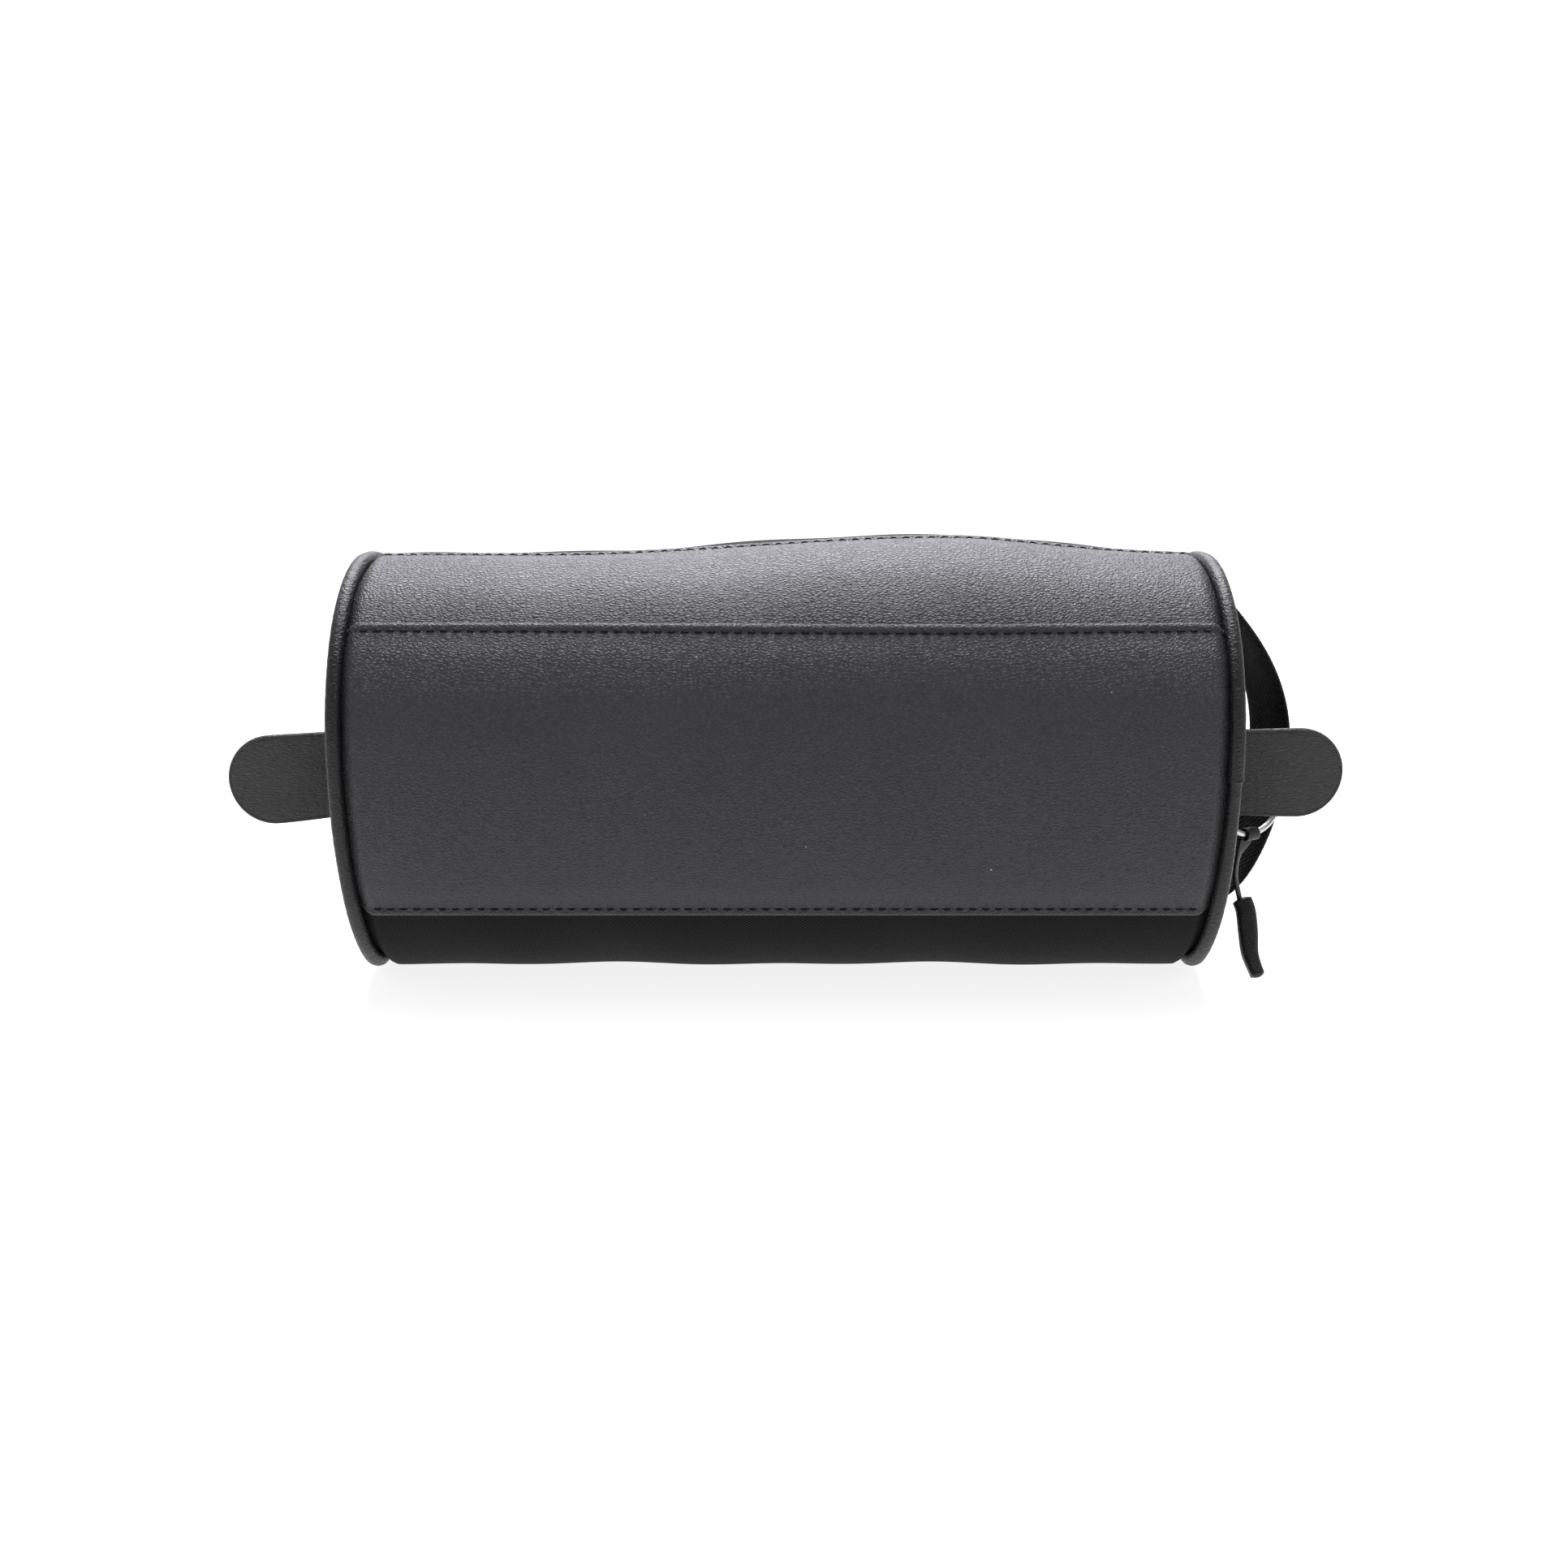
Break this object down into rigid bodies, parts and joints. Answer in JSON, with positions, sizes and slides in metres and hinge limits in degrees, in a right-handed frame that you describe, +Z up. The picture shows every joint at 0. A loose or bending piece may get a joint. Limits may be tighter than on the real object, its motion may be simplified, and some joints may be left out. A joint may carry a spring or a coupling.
{
  "type": "shaving kit bag",
  "caption": "Soft rectangular toiletry bag with a hinged zipped lid, piped ends, side grip tabs and a webbing end handle, lying on its front.",
  "frame": {"origin": "under the middle of the bag's box, on the plane it lies on", "axes": "+X along the bag towards the handle end, -Y the way the base faces, +Z up through the back panel"},
  "size_m": [0.3627, 0.1396, 0.1466],
  "materials": {
    "smooth_leather": "fine-grained charcoal imitation leather, satin",
    "canvas": "black plain-weave canvas, matte",
    "lining": "thin black nylon lining",
    "zip_tape": "black woven zip tape",
    "webbing": "black woven webbing",
    "coil_nylon": "black nylon coil",
    "nickel": "bright nickel plate"
  },
  "bodies": {
    "bag": {"back_canvas_panel": "canvas", "back_leather_panel": "smooth_leather", "base_panel": "smooth_leather", "body_lining": "lining", "front_panel": "canvas", "left_end_lining": "lining", "left_end_panel": "canvas", "left_piping": "smooth_leather", "right_end_lining": "lining", "right_end_panel": "canvas", "right_piping": "smooth_leather", "zip_coil_back_left": "coil_nylon", "zip_coil_back_right": "coil_nylon", "zip_coil_front": "coil_nylon", "zip_tape_back_left": "zip_tape", "zip_tape_back_right": "zip_tape", "zip_tape_front": "zip_tape"},
    "lid": {"lid_left_end": "canvas", "lid_left_end_lining": "lining", "lid_left_piping": "smooth_leather", "lid_lining": "lining", "lid_panel": "canvas", "lid_right_end": "canvas", "lid_right_end_lining": "lining", "lid_right_piping": "smooth_leather", "zip_coil_lid": "coil_nylon", "zip_tape_lid": "zip_tape"},
    "slider": {"zip_slider": "nickel", "slider_bail": "nickel"},
    "ring": {"pull_ring": "nickel"},
    "pull": {"pull_strap": "smooth_leather", "pull_grip": "smooth_leather"},
    "left_tab": {"left_grip_tab": "smooth_leather"},
    "right_tab": {"right_grip_tab": "smooth_leather"},
    "handle": {"handle_strap": "webbing"}
  },
  "joints": [
    {"name": "lid_open", "type": "hinge", "parent": "bag", "child": "lid", "pos_m": [0, 0.023, 0.1404], "axis": [1, 0, 0], "range_deg": [0, 100]},
    {"name": "zip_slide", "type": "slide", "parent": "bag", "child": "slider", "axis": [0, 1, 0], "range_m": [0, 0.004]},
    {"name": "ring_swing", "type": "hinge", "parent": "slider", "child": "ring", "pos_m": [0.14727, -0.0205, 0.0705], "axis": [0, -1, 0], "range_deg": [0, 35]},
    {"name": "pull_swing", "type": "hinge", "parent": "ring", "child": "pull", "pos_m": [0.15554, -0.01573, 0.04745], "axis": [-0.866, -0.5, 0], "range_deg": [-10, 35]},
    {"name": "left_tab_flex", "type": "hinge", "parent": "bag", "child": "left_tab", "pos_m": [-0.14557, -0.0282, 0.0715], "axis": [0, 0, 1], "range_deg": [-40, 40], "stiffness_Nm_per_rad": 0.02},
    {"name": "right_tab_flex", "type": "hinge", "parent": "bag", "child": "right_tab", "pos_m": [0.14429, -0.0282, 0.0715], "axis": [0, 0, -1], "range_deg": [-5, 40], "stiffness_Nm_per_rad": 0.02},
    {"name": "handle_flex", "type": "hinge", "parent": "bag", "child": "handle", "pos_m": [0.14185, 0.0205, 0.0785], "axis": [0, 0, 1], "range_deg": [0, 45], "stiffness_Nm_per_rad": 0.02}
  ]
}
